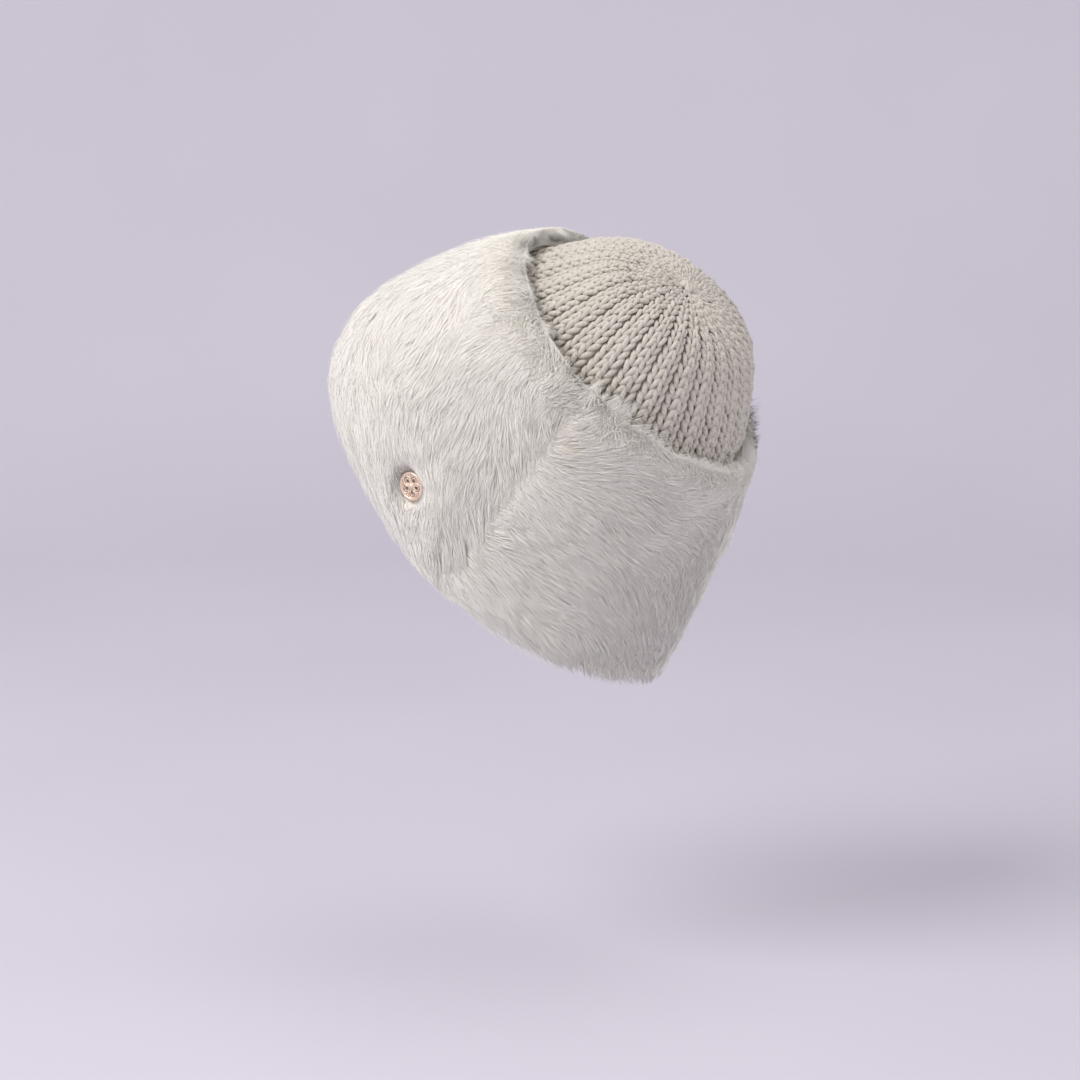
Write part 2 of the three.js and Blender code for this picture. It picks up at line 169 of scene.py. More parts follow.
# Fringe that leans from the band's upper edge over the knit
FRINGE_COUNT = 17000
FRINGE_LOW_SHARE = 0.86
FRINGE_HIGH_SHARE = 1.035
FRINGE_CROWDING = 1.5
FRINGE_CROWN_SHARE = 0.215
FRINGE_CROWN_SPREAD = 0.03
FRINGE_EDGE_WAVE = 0.018
FRINGE_EDGE_WEIGHT = 0.7
FRINGE_EDGE_RAGGED = 0.6
FRINGE_ASIDE = math.radians(2)
FRINGE_LEAN = math.radians(5)
FRINGE_LEAN_WAVE = 0.025
FRINGE_HEIGHT = 0.0015
FRINGE_TIP_HEIGHTS = (0.0018, 0.0048)
FRINGE_REAR_LOWER = 0.7
FRINGE_REAR_ANGLES = (90, 150)
FRINGE_LIFT_SHARE = 0.036
FRINGE_FACES_UP = 2.0
FRINGE_REACH = 0.016
FRINGE_REACH_RANGE = (0.6, 1.2)
LOCK_SPREAD = math.radians(2.4)
LOCK_POINT_SPREAD = math.radians(0.6)
LOCK_RAGGED = 0.03
LOCK_ROOT_SHARE = 0.95

# Pointed locks of fur that lie on the knit, on both sides of the head: angle, share of the crown reached,
# number of strands
LOCKS_OVER_KNIT = (
    dict(at="seam_top", angle=100, reach=0.32, count=260),
    dict(at="behind_seam", angle=110, reach=0.27, count=180),
    dict(at="rear", angle=122, reach=0.26, count=180),
)

# Places on the band where the pile parts and shows its beige ground: share, angle, radius
PARTINGS = (
    dict(at="behind_seam", share=0.79, angle=109, radius=0.013),
    dict(at="whorl", share=0.85, angle=139, radius=0.010),
    dict(at="by_seam", share=0.86, angle=103, radius=0.008),
)
PARTING_SHADE = 0.6

# Knit crown
KNIT_WALL = 0.006
RIB_COUNT = 28
RIB_STEP = 2 * math.pi / RIB_COUNT
ROW_COUNT = 19
ROW_SAMPLES = 160
FIRST_ROW_SHARE = 0.07
LAST_ROW_SHARE = 0.965
GROOVE_SHARE = 0.15
YARN_RADIUS = 0.0016
YARN_RADIUS_SMALL = 0.0009
YARN_RADIUS_RANGE = (0.94, 1.06)
YARN_WALE_SHARE = 0.25
YARN_STATIONS = (0.0, 0.1, 0.3, 0.52, 0.74, 0.92, 1.0)
YARN_SWELL = (0.0, 0.6, 0.88, 1.0, 1.05, 0.85, 0.0)
YARN_DIVE = (1.0, 0.55, 0.18, 0.0, 0.0, 0.2, 0.8)
YARN_SIDES = 8
YARN_OVERLAP = 1.5
YARN_START = 0.2
YARN_LAST_SHARE = 0.995
YARN_ASIDE_SPREAD = 0.05
YARN_RISE_SPREAD = 0.04
YARN_SINK_SPREAD = 0.0002
RIB_PHASE = 0.5
YARN_DIVE_DEPTH = 0.0022
YARN_FOOT_ASIDE = 0.1
YARN_HEAD_ASIDE = 1.0
YARN_PLIES = 2
TWISTS_A_METRE = 260
YARN_TONE = 0.95
YARN_TONE_SPREAD = 0.03
YARN_DIVE_SHADE = 0.16
YARN_GROOVE_SHADE = 0.04
DOUBLE_WALE_PITCH = 0.0095
SINGLE_WALE_PITCH = 0.0032
HALF_WALE_PITCH = 0.0017
WALE_MARGIN = 0.06
GROOVE_SINK = 0.0025
HOLE_LINE_SINK = 0.3
CLOSING_COUNT = 5
CLOSING_RADIUS = 0.0017
CLOSING_REACH = 0.0065
CLOSING_ASIDE = 0.0016
CLOSING_LIFT = -0.0004
CLOSING_DROP = 0.0032
KNIT_BASE_SINK = 0.0036
KNIT_BASE_GROOVE = 0.0012
KNIT_BASE_GROOVE_WIDTH = 2.2
KNIT_BASE_ROWS = 32
COLUMNS_A_RIB = 6
KNIT_BASE_TOP_SHARE = 0.985
# Painted shade on the ground between the stitches: its outer tone, well below the yarn's, and how much darker
# it gets in the grooves
KNIT_GROUND_SHADED_TONE = 0.65
KNIT_BASE_SHADE = 0.25
KNIT_INSIDE_TONE = 0.7

# Ornament. Grids give a wire's sections and the steps round its ring.
ORNAMENT_RADIUS = 0.008
ORNAMENT_STAND = 0.0045
ORNAMENT_SHARE = 0.31
ORNAMENT_ANGLE = 78
PETAL_COUNT = 5
PETAL_NARROWING = 0.85
RIM_WIRE = 0.0009
RIM_GRID = (10, 56)
PETAL_WIRE = 0.0006
PETAL_GRID = (8, 28)
BOSS_RADIUS = 0.002
BOSS_HEIGHT = 0.00145
BOSS_TURNS = (0.4, 0.8, 1.2)
BOSS_SIDES = 24
POST_RADIUS = 0.0016
BEAD_RADIUS = 0.0007
BEAD_INSET = 2.4 * RIM_WIRE
BEAD_TURNS = (0.5, 1.035, 1.57, 2.105, 2.64)
BEAD_SIDES = 10
LEAF_RADIUS = 0.0015
LEAF_WIRE = 0.0004
LEAF_GRID = (6, 18)
LEAF_REACH = 0.0046
ORNAMENT_CLEAR = 0.0074
PIT_FLOOR_RADIUS = 0.0078
PIT_MOUTH_RADIUS = 0.0135
PIT_SHADE = 0.35

# Camera and stage
CAMERA_AZIMUTH = math.radians(115)
CAMERA_ELEVATION = math.radians(10)
CAMERA_DISTANCE = 2.0
CAMERA_TARGET = Vector((-0.0084, 0.0120, 0.0142))
CAMERA_LENS = 120
FLOOR_HEIGHT = -0.215
FLOOR_FRONT = -4.0
FLOOR_BACK = 1.2
FLOOR_HALF_WIDTH = 5.0
BACKDROP_RADIUS = 0.8
BACKDROP_HEIGHT = 4.0
BACKDROP_FIRST_TURN = 0.1
BACKDROP_STEPS = 14
WORLD_COLOUR = (0.94, 0.91, 0.90, 1)
WORLD_STRENGTH = 0.86

# Lights: metres to the camera's left, towards the camera and up from the origin, width and watts
LIGHTS = (
    dict(name="key", left=1.4, towards=1.0, up=1.6, size=1.4, power=38.5, colour=(1.0, 0.985, 0.95)),
    dict(name="top", left=-0.3, towards=-0.3, up=2.2, size=1.2, power=5, colour=(1.0, 0.985, 0.95)),
    dict(name="fill", left=-1.4, towards=1.6, up=0.5, size=1.6, power=6.5, colour=(1.0, 0.98, 0.95)),
)


# Surfaces

def smooth_through(values, share):
    """A smooth curve through evenly spaced values, read at shares from 0 to 1 and straight past its ends."""
    values = np.asarray(values, float)
    last = len(values) - 1
    inside = np.clip(share, 0, 1)
    i = np.minimum((inside * last).astype(int), last - 1)
    t = inside * last - i
    padded = np.concatenate([[2 * values[0] - values[1]], values, [2 * values[-1] - values[-2]]])
    before, here, there, after = padded[i], padded[i + 1], padded[i + 2], padded[i + 3]
    slope_in = (there - before) / 2
    slope_out = (after - here) / 2
    rise = there - here
    bend = 3 * rise - 2 * slope_in - slope_out
    twist = slope_in + slope_out - 2 * rise
    curve = here + t * (slope_in + t * (bend + t * twist))
    low = np.minimum(share, 0) * last * (values[1] - values[0])
    high = np.maximum(share - 1, 0) * last * (values[-1] - values[-2])
    return curve + low + high


def surface_point(rings, share, angle):
    """Points of a table's surface at shares up the table and angles round the head, in radians."""
    share, angle = np.broadcast_arrays(np.asarray(share, float), np.asarray(angle, float))
    ring = {key: smooth_through([row[key] for row in rings], share) for key in RING_KEYS}
    forward = np.cos(angle)
    left = np.sin(angle)
    along = -forward * np.where(forward > 0, ring["front"], ring["back"])
    lift = ring["lift"] * left * left
    tilt = np.radians(ring["tilt"])
    x = left * ring["side"]
    y = ring["y"] + along * np.cos(tilt) + lift * np.sin(tilt)
    z = ring["z"] - along * np.sin(tilt) + lift * np.cos(tilt)
    return np.stack([x, y, z], -1)


def surface_slopes(rings, share, angle):
    """How far a point moves per unit of share and per radian."""
    above = surface_point(rings, share + SURFACE_STEP, angle)
    below = surface_point(rings, share - SURFACE_STEP, angle)
    after = surface_point(rings, share, angle + SURFACE_STEP)
    before = surface_point(rings, share, angle - SURFACE_STEP)
    return (above - below) / (2 * SURFACE_STEP), (after - before) / (2 * SURFACE_STEP)


def unit(vectors):
    return vectors / np.maximum(np.linalg.norm(vectors, axis=-1, keepdims=True), TINY)


def outward(rings, share, angle):
    """The outward normal of a table's surface."""
    up, around = surface_slopes(rings, share, angle)
    return unit(np.cross(around, up))


def offset_point(rings, share, angle, offset):
    """Points held off a table's surface along its outward normal."""
    return surface_point(rings, share, angle) + outward(rings, share, angle) * np.asarray(offset)[..., None]


def hump(distance, half_width):
    """1 at distance 0, falling smoothly to nothing on both sides."""
    return np.exp(-((distance / half_width) ** 2))


def smooth_step(low, high, value):
    """0 up to low and 1 from high, with a smooth rise between."""
    t = np.clip((value - low) / (high - low), 0, 1)
    return t * t * (3 - 2 * t)


def ripples(points, wavelength, seed):
    """Smooth random waves through space, mostly between -1 and 1."""
    rng = np.random.default_rng(seed)
    directions = unit(rng.normal(size=(RIPPLE_COUNT, 3)))
    lengths = wavelength * rng.uniform(*RIPPLE_LENGTHS, RIPPLE_COUNT)
    phases = rng.uniform(0, 2 * math.pi, RIPPLE_COUNT)
    waves = np.sin(points @ (directions * (2 * math.pi / lengths)[:, None]).T + phases)
    return waves.sum(-1) / math.sqrt(RIPPLE_COUNT / 2)


# Band geometry

def folded_angle(angle):
    """Degrees from the front, the same on both sides of the head."""
    return np.abs((np.degrees(angle) + 180) % 360 - 180)


def from_seam(share, angle):
    """Whether a place is on the front panel, and how far from the middle of its panel (0) to the seam (1)."""
    folded = folded_angle(angle)
    seam = smooth_through(SEAM_ANGLES, share)
    front = folded < seam
    return front, np.where(front, folded / seam, (180 - folded) / (180 - seam))


def fur_depth(share, angle):
    """Depth of the pile over the backing: blunt lips, creased seams, a ridge in front of the seam's foot."""
    front, reach = from_seam(share, angle)
    side = np.sign((np.degrees(angle) + 180) % 360 - 180)
    turn = np.where(front, reach * side, -reach * side)
    across = share / (1 + FUR_UPPER_OVERHANG)
    bulge = np.sqrt(np.maximum(0, 1 - np.abs(2 * across - 1) ** FUR_LIP_BLUNTNESS))
    swell = SWELL_HEIGHT
    for round_panel, up_band in SWELL_WAVES:
        swell = swell * np.sin(round_panel * turn + up_band * share)
    distance = (1 - reach) * PANEL_HALF_LENGTH
    crease = CREASE_DEPTH * hump(distance, CREASE_HALF_WIDTH)
    low_down = hump(share - RIDGE_SHARE, RIDGE_SHARE_SPREAD)
    ridge = RIDGE_HEIGHT * low_down * hump(distance - RIDGE_HALF_WIDTH, RIDGE_HALF_WIDTH)
    hollow = SEAM_HOLLOW_DEPTH * low_down * hump(distance, SEAM_HOLLOW_WIDTH)
    at_seam = np.where(front, ridge, -hollow)
    at_brow = np.where(front, 1 - hump(distance, BROW_THIN_FROM_SEAM), 0.0)
    kept = 1 - BROW_THINNING * at_brow * hump(share, BROW_THIN_SHARE)
    return kept * (FUR_LIP_DEPTH + (FUR_DEPTH - FUR_LIP_DEPTH + swell - crease + at_seam) * bulge)


def band_point(share, angle, offset):
    """Points held off the band's cloth."""
    return offset_point(BAND_RINGS, share, angle, offset)


ornament_angle = math.radians(ORNAMENT_ANGLE)
seat = surface_point(BAND_RINGS, ORNAMENT_SHARE, ornament_angle)
seat_up, seat_round = surface_slopes(BAND_RINGS, np.float64(ORNAMENT_SHARE), np.float64(ornament_angle))
seat_out = unit(np.cross(seat_round, seat_up))
seat_aside = unit(np.cross(seat_up, seat_out))
seat_up = np.cross(seat_out, seat_aside)


def from_ornament(points):
    """Distance from the axis of the ornament, and far away on the other side of the head."""
    apart = points - seat
    height = apart @ seat_out
    aside = np.linalg.norm(apart - height[..., None] * seat_out, axis=-1)
    return np.where(points[..., 0] > 0, aside, 1.0)


def out_of_pit(points):
    """0 over the floor of the pit round the ornament, rising to 1 at its mouth."""
    return smooth_step(PIT_FLOOR_RADIUS, PIT_MOUTH_RADIUS, from_ornament(points))


# Meshes

def add_object(name, data):
    added = bpy.data.objects.new(name, data)
    scene.collection.objects.link(added)
    return added


def make_piece(name, points, triangles, slot, replaced, tones=None, extra=None, normals=None):
    """A smooth-shaded piece of the object from arrays, with its attributes and its slot's look."""
    mesh = bpy.data.meshes.new(name)
    mesh.vertices.add(len(points))
    mesh.vertices.foreach_set("co", np.ascontiguousarray(points, np.float32).ravel())
    mesh.loops.add(triangles.size)
    mesh.loops.foreach_set("vertex_index", np.ascontiguousarray(triangles, np.int32).ravel())
    mesh.polygons.add(len(triangles))
    mesh.polygons.foreach_set("loop_start", np.arange(0, triangles.size, 3, dtype=np.int32))
    mesh.polygons.foreach_set("use_smooth", np.ones(len(triangles), bool))
    for key, values in {"tone": tones, **(extra or {})}.items():
        if values is not None:
            attribute = mesh.attributes.new(key, "FLOAT", "POINT")
            attribute.data.foreach_set("value", np.ascontiguousarray(values, np.float32).ravel())
    mesh.update()
    mesh.validate()
    if normals is not None:
        mesh.normals_split_custom_set_from_vertices(normals)
    mesh.materials.append(looks[slot])
    piece = add_object(name, mesh)
    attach(piece, "root")
    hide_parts(replaced)


def faces_of_rings(start, end, first, rings, sides):
    """Triangles of a closed shape: rings of points, the first point's index given, between two end points."""
    faces = []
    for j in range(sides):
        k = (j + 1) % sides
        faces.append((start, first + k, first + j))
        for low in range(first, first + (rings - 1) * sides, sides):
            high = low + sides
            faces.append((low + j, low + k, high + k))
            faces.append((low + j, high + k, high + j))
        top = first + (rings - 1) * sides
        faces.append((top + j, top + k, end))
    return np.array(faces)


def spindles(paths, radii, sides, out):
    """Closed tapered strands along paths of shape (count, stations, 3), pointed at both ends.

    Each inner station carries a ring of the given number of sides. out is a direction for each strand that
    the rings are set square to and the ends shade towards. Returns points, triangles and normals.
    """
    count, stations = paths.shape[:2]
    rings = stations - 2
    tangent = unit(np.gradient(paths, axis=1))
    aside = unit(np.cross(out[:, None, :], tangent))
    across = np.cross(tangent, aside)
    turns = 2 * math.pi * np.arange(sides) / sides
    spokes = np.cos(turns)[:, None] * aside[:, 1:-1, None, :]
    spokes = spokes + np.sin(turns)[:, None] * across[:, 1:-1, None, :]
    ring_points = paths[:, 1:-1, None, :] + spokes * radii[:, 1:-1, None, None]
    ends = paths[:, [0, -1], :]
    points = np.concatenate([ends, ring_points.reshape(count, rings * sides, 3)], axis=1)
    offsets = np.arange(count)[:, None, None] * points.shape[1]
    triangles = (faces_of_rings(0, 1, 2, rings, sides)[None] + offsets).reshape(-1, 3)
    end_normals = np.broadcast_to(out[:, None, :], ends.shape)
    normals = np.concatenate([end_normals, spokes.reshape(count, rings * sides, 3)], axis=1)
    return points.reshape(-1, 3), triangles, normals.reshape(-1, 3)


def spread_over(values, sides):
    """Values at a strand's stations, given again for each point that spindles() makes."""
    rings = np.repeat(values[:, 1:-1], sides, axis=1)
    return np.concatenate([values[:, [0, -1]], rings], axis=1).ravel()


def halved(quads):
    """Two triangles for each quad."""
    return np.concatenate([quads[:, [0, 1, 2]], quads[:, [0, 2, 3]]])


def wall_between(outer, inner, closed):
    """A closed wall between two grids of points, rows upwards and columns round the head."""
    rows, columns = outer.shape[:2]
    index = np.arange(rows * columns).reshape(rows, columns)
    other = index + rows * columns
    after = np.roll(index, -1, axis=1)
    other_after = np.roll(other, -1, axis=1)
    cut = slice(0, columns if closed else columns - 1)
    corners = [
        (index[:-1, cut], after[:-1, cut], after[1:, cut], index[1:, cut]),
        (other[:-1, cut], other[1:, cut], other_after[1:, cut], other_after[:-1, cut]),
        (other[0, cut], other_after[0, cut], after[0, cut], index[0, cut]),
        (index[-1, cut], after[-1, cut], other_after[-1, cut], other[-1, cut]),
    ]
    if not closed:
        corners.append((other[:-1, 0], index[:-1, 0], index[1:, 0], other[1:, 0]))
        corners.append((index[:-1, -1], other[:-1, -1], other[1:, -1], index[1:, -1]))
    points = np.concatenate([outer.reshape(-1, 3), inner.reshape(-1, 3)])
    return points, halved(np.concatenate([np.stack(quad, -1).reshape(-1, 4) for quad in corners]))


def joined(parts):
    """One set of points and triangles from several."""
    points, triangles, start = [], [], 0
    for part_points, part_triangles in parts:
        points.append(part_points)
        triangles.append(part_triangles + start)
        start += len(part_points)
    return np.concatenate(points), np.concatenate(triangles)


# Materials

class Nodes:
    """Short calls for building a material's node tree."""

    def __init__(self, name):
        self.material = bpy.data.materials.new(name)
        self.material.use_nodes = True
        self.tree = self.material.node_tree
        self.shader = self.tree.nodes["Principled BSDF"]

    def add(self, kind, **settings):
        node = self.tree.nodes.new(kind)
        for key, value in settings.items():
            setattr(node, key, value)
        return node

    def link(self, source, target):
        self.tree.links.new(source, target)

    def attribute(self, name):
        return self.add("ShaderNodeAttribute", attribute_name=name).outputs["Fac"]

    def texture(self, kind, output, **values):
        """A texture in the piece's own coordinates."""
        node = self.add(kind)
        for key, value in values.items():
            node.inputs[key].default_value = value
        self.link(self.add("ShaderNodeTexCoord").outputs["Object"], node.inputs["Vector"])
        return node.outputs[output]

    def noise(self, scale, detail, roughness=0.5):
        return self.texture("ShaderNodeTexNoise", "Fac", Scale=scale, Detail=detail, Roughness=roughness)

    def math(self, operation, first, second=0.0):
        node = self.add("ShaderNodeMath", operation=operation)
        for socket, value in zip(node.inputs, (first, second)):
            if isinstance(value, (int, float)):
                socket.default_value = value
            else:
                self.link(value, socket)
        return node.outputs[0]

    def colour(self, value, stops):
        """A ramp of colours over a value, as the base colour."""
        node = self.add("ShaderNodeValToRGB")
        while len(node.color_ramp.elements) < len(stops):
            node.color_ramp.elements.new(0.5)
        for element, (place, colour) in zip(node.color_ramp.elements, stops):
            element.position = place
            element.color = (*colour, 1)
        self.link(value, node.inputs["Fac"])
        self.link(node.outputs["Color"], self.shader.inputs["Base Color"])

    def mottled_tone(self, scale, detail, amount):
        """The tone attribute, with soft random patches."""
        patches = self.math("SUBTRACT", self.noise(scale, detail), 0.5)
        return self.math("ADD", self.attribute("tone"), self.math("MULTIPLY", patches, amount))

    def bump(self, height, distance, strength):
        node = self.add("ShaderNodeBump")
        node.inputs["Strength"].default_value = strength
        node.inputs["Distance"].default_value = distance
        self.link(height, node.inputs["Height"])
        self.link(node.outputs["Normal"], self.shader.inputs["Normal"])

    def set(self, **values):
        for key, value in values.items():
            self.shader.inputs[key.replace("_", " ")].default_value = value


def fur_material():
    nodes = Nodes("white_fur")
    # Low tones give the beige ground at the partings and the painted shade in the pit round the ornament; the
    # strands' roots are a little darker than their tips
    nodes.colour(nodes.mottled_tone(scale=60, detail=4, amount=0.14), (
        (0.0, (0.50, 0.40, 0.30)),
        (0.35, (0.74, 0.67, 0.58)),
        (0.7, (0.92, 0.885, 0.83)),
        (1.0, (0.965, 0.935, 0.885)),
    ))
    nodes.set(Roughness=0.8, Sheen_Weight=0.25, Sheen_Roughness=0.5, Specular_IOR_Level=0.1)
    nodes.set(Subsurface_Weight=0.35, Subsurface_Radius=(1, 1, 1), Subsurface_Scale=FUR_SCATTER)
    return nodes.material


def knit_material():
    nodes = Nodes("ivory_yarn")
    twist = nodes.math("MULTIPLY", nodes.attribute("along"), TWISTS_A_METRE)
    twist = nodes.math("ADD", twist, nodes.attribute("around"))
    plies = nodes.math("SINE", nodes.math("MULTIPLY", twist, 2 * math.pi * YARN_PLIES))
    fuzz = nodes.noise(scale=900, detail=4, roughness=0.7)
    height = nodes.math("ADD", nodes.math("MULTIPLY", plies, 0.35), fuzz)
    # The lower stops colour the painted shade where the yarn dives, towards the grooves and on the ground
    # between the stitches
    nodes.colour(nodes.mottled_tone(scale=120, detail=3, amount=0.3), (
        (0.0, (0.42, 0.32, 0.24)),
        (0.4, (0.475, 0.415, 0.35)),
        (0.75, (0.505, 0.468, 0.42)),
        (1.0, (0.575, 0.54, 0.49)),
    ))
    nodes.set(Roughness=0.9, Sheen_Weight=0.3, Sheen_Roughness=0.6, Specular_IOR_Level=0.15)
    nodes.bump(height, distance=0.0006, strength=0.7)
    return nodes.material


def backing_material():
    nodes = Nodes("backing_cloth")
    stitches = nodes.texture("ShaderNodeTexVoronoi", "Distance", Scale=700)
    mottle = nodes.noise(scale=150, detail=4)
    nodes.colour(mottle, ((0.25, (0.66, 0.61, 0.54)), (0.75, (0.80, 0.77, 0.71))))
    nodes.set(Roughness=0.92, Sheen_Weight=0.2, Sheen_Roughness=0.6, Specular_IOR_Level=0.15)
    nodes.bump(stitches, distance=0.0004, strength=0.8)
    return nodes.material


def ornament_material():
    nodes = Nodes("rose_gold")
    wear = nodes.noise(scale=900, detail=5, roughness=0.6)
    nodes.colour(wear, ((0.3, (0.66, 0.47, 0.36)), (0.7, (0.92, 0.78, 0.68))))
    rough = nodes.math("ADD", nodes.math("MULTIPLY", wear, 0.25), 0.2)
    nodes.link(rough, nodes.shader.inputs["Roughness"])
    nodes.set(Metallic=0.5)
    nodes.bump(wear, distance=0.0001, strength=0.4)
    return nodes.material


def floor_material():
    nodes = Nodes("pale_floor")
    mottle = nodes.noise(scale=3, detail=2)
    nodes.colour(mottle, ((0.3, (0.545, 0.525, 0.61)), (0.7, (0.565, 0.545, 0.63))))
    nodes.set(Roughness=0.9, Specular_IOR_Level=0.1)
    return nodes.material


looks = {
    "fur": fur_material(),
    "knit": knit_material(),
    "backing": backing_material(),
    "ornament": ornament_material(),
}


# Camera

def look_from():
    """The direction from the object to the camera."""
    flat = math.cos(CAMERA_ELEVATION)
    x = math.sin(CAMERA_AZIMUTH) * flat
    y = -math.cos(CAMERA_AZIMUTH) * flat
    return Vector((x, y, math.sin(CAMERA_ELEVATION)))


def make_camera():
    data = bpy.data.cameras.new("camera")
    data.lens = CAMERA_LENS
    camera = add_object("camera", data)
    camera.location = CAMERA_TARGET + CAMERA_DISTANCE * look_from()
    camera.rotation_euler = (-look_from()).to_track_quat("-Z", "Y").to_euler()
    scene.camera = camera


# Band backing

def make_backing():
    """The cloth that carries the fur, open above and below."""
    rows, columns = BACKING_GRID
    angles = np.linspace(0, 2 * math.pi, columns, endpoint=False)
    shares, angles = np.meshgrid(np.linspace(0, 1, rows), angles, indexing="ij")
    outer = band_point(shares, angles, np.zeros(shares.shape))
    inner = band_point(shares, angles, np.full(shares.shape, -BACKING_WALL))
    points, triangles = wall_between(outer, inner, True)
    make_piece("band_backing_cloth", points, triangles, "backing", "band_backing")


# Fur

def pile_height(share, angle):
    """Height of the dense lower pile, with a pit round the ornament."""
    depth = np.maximum(fur_depth(share, angle) - PILE_SUNK, PILE_FLOOR)
    pit = out_of_pit(surface_point(BAND_RINGS, share, angle))
    return PIECE_GAP + PILE_FLOOR / 2 + (depth - PILE_FLOOR / 2) * pit


def make_pile(panel):
    """The dense lower pile of one panel as a closed wall over the backing."""
    edge = FRONT_EDGE_SHARE if panel == "front" else 1 + FUR_UPPER_OVERHANG
    rows, columns = PILE_GRID
    shares, rounds = np.meshgrid(np.linspace(0, edge, rows), np.linspace(-1, 1, columns), indexing="ij")
    seam = smooth_through(SEAM_ANGLES, shares)
    half = (seam if panel == "front" else 180 - seam) - SEAM_GAP_ANGLE
    angles = np.radians((0 if panel == "front" else 180) + rounds * half)
    outer = band_point(shares, angles, pile_height(shares, angles))
    inner = band_point(shares, angles, np.where(shares > 1, -FUR_CURL, PIECE_GAP))
    points, triangles = wall_between(outer, inner, False)
    in_pit = 1 - out_of_pit(points)
    tones = PILE_TONE + PILE_TONE_SPREAD * ripples(points, PILE_WAVE, TUFT_SEED)
    # The pit round the ornament is darkened as painted shade; the partings show the pile's beige ground
    tones = tones - PARTING_SHADE * parting(points) - PIT_SHADE * in_pit
    make_piece(f"fur_{panel}_pile", points, triangles, "fur", f"fur_{panel}", tones)


def nap_turn(share, angle, points):
    """How far the hair turns from straight down the band towards the back of the head."""
    front, reach = from_seam(share, angle)
    on_front = FRONT_TURN * smooth_step(0, FRONT_TURN_REACH, reach)
    on_front = on_front + FRONT_SEAM_TURN * smooth_step(FRONT_SEAM_REACH, 1, reach)
    from_rim = REAR_RIM_TURN_SHARE + (1 - REAR_RIM_TURN_SHARE) * smooth_step(0, REAR_RIM_SHARE, share)
    on_rear = REAR_TURN * reach ** REAR_TURN_FADE * from_rim
    on_rear = on_rear + REAR_EDGE_TURN * smooth_step(*REAR_EDGE_SHARES, share)
    wander = NAP_WANDER * ripples(points, NAP_WAVE, TUFT_SEED) * smooth_step(0, NAP_CALM_REACH, reach)
    return np.where(front, on_front, on_rear) + wander


def scattered(rng, count, low, high):
    """Places spread evenly over the band between two shares."""
    shares, angles = [], []
    found = 0
    while found < count:
        share = rng.uniform(low, high, count)
        angle = rng.uniform(0, 2 * math.pi, count)
        up, around = surface_slopes(BAND_RINGS, share, angle)
        area = np.linalg.norm(np.cross(around, up), axis=-1)
        kept = rng.uniform(0, BAND_AREA_BOUND, count) < area
        shares.append(share[kept])
        angles.append(angle[kept])
        found += int(kept.sum())
    return np.concatenate(shares)[:count], np.concatenate(angles)[:count]


def nearest_tuft(points, tuft_points):
    """The index of the tuft nearest to each point."""
    tree = KDTree(len(tuft_points))
    for i, point in enumerate(tuft_points):
        tree.insert(point, i)
    tree.balance()
    return np.array([tree.find(point)[1] for point in points])


def march(share, angle, turn, length, along):
    """Places a distance down the nap from a place, at shares of a strand's length."""
    up, around = surface_slopes(BAND_RINGS, share, angle)
    side = np.where(np.sin(angle) >= 0, 1.0, -1.0)
    down = -np.cos(turn) * length / np.linalg.norm(up, axis=-1)
    aside = side * np.sin(turn) * length / np.linalg.norm(around, axis=-1)
    at_nape = smooth_step(*RIM_ANGLES, folded_angle(angle))
    ragged = NAPE_RIM_REACH * (length / STRAND_LENGTH_FRONT) ** NAPE_RIM_POWER
    rim_reach = BROW_RIM_REACH + (ragged - BROW_RIM_REACH) * at_nape
    down = np.maximum(down, np.minimum(rim_reach - share, 0))
    return share[:, None] + down[:, None] * along, angle[:, None] + aside[:, None] * along


def parting(points):
    """How much of the beige ground shows at points of the band."""
    shown = np.zeros(points.shape[:-1])
    for place in PARTINGS:
        centre = surface_point(BAND_RINGS, place["share"], math.radians(place["angle"]))
        shown = np.maximum(shown, hump(np.linalg.norm(points - centre, axis=-1), place["radius"]))
    return shown


def seam_lock(front, reach):
    """How much the front panel's hair gathers into locks that hang over the seam."""
    return np.where(front, hump((1 - reach) * PANEL_HALF_LENGTH, SEAM_LOCK_WIDTH), 0.0)


def kept_length(front, reach, points):
    """The share of its length that hair keeps: less just behind the seam and round the ornament."""
    behind = smooth_step(0, REAR_SEAM_SHORT_WIDTH, (1 - reach) * PANEL_HALF_LENGTH)
    at_seam = np.where(front, 1.0, REAR_SEAM_SHORT + (1 - REAR_SEAM_SHORT) * behind)
    from_pit = smooth_step(PIT_FLOOR_RADIUS, 2 * PIT_MOUTH_RADIUS, from_ornament(points))
    return at_seam * (PIT_SHORT + (1 - PIT_SHORT) * from_pit)


def over_ornament(paths):
    """Which paths pass over the ornament."""
    shares = np.linspace(0, 1, PATH_SAMPLES)[:, None, None, None]
    points = paths[None, :, :-1] + (paths[None, :, 1:] - paths[None, :, :-1]) * shares
    return (from_ornament(points) < ORNAMENT_CLEAR).any(axis=(0, 2))


def strand_paths(share, angle, turn, length, proud):
    """Paths of strands that leave the lower pile, lie down the nap and stand proud of it at their tips."""
    along = np.array(STRAND_STATIONS)
    shares, angles = march(share, angle, turn, length, along)
    depth = fur_depth(shares, angles)
    front, reach = from_seam(share, angle)
    overhang = (depth[:, :1] - SEAM_OVERHANG_DROP) * seam_lock(front, reach)[:, None]
    depth = np.maximum(depth, overhang)
    root = np.maximum(depth - PILE_SUNK, PILE_FLOOR) - ROOT_SINK
    top = np.maximum(depth + proud[:, None], PILE_FLOOR)
    top = PILE_FLOOR + (top - PILE_FLOOR) * out_of_pit(surface_point(BAND_RINGS, shares, angles))
    rise = np.array(STRAND_RISE)
    return band_point(shares, angles, PIECE_GAP + root + (top - root) * rise)


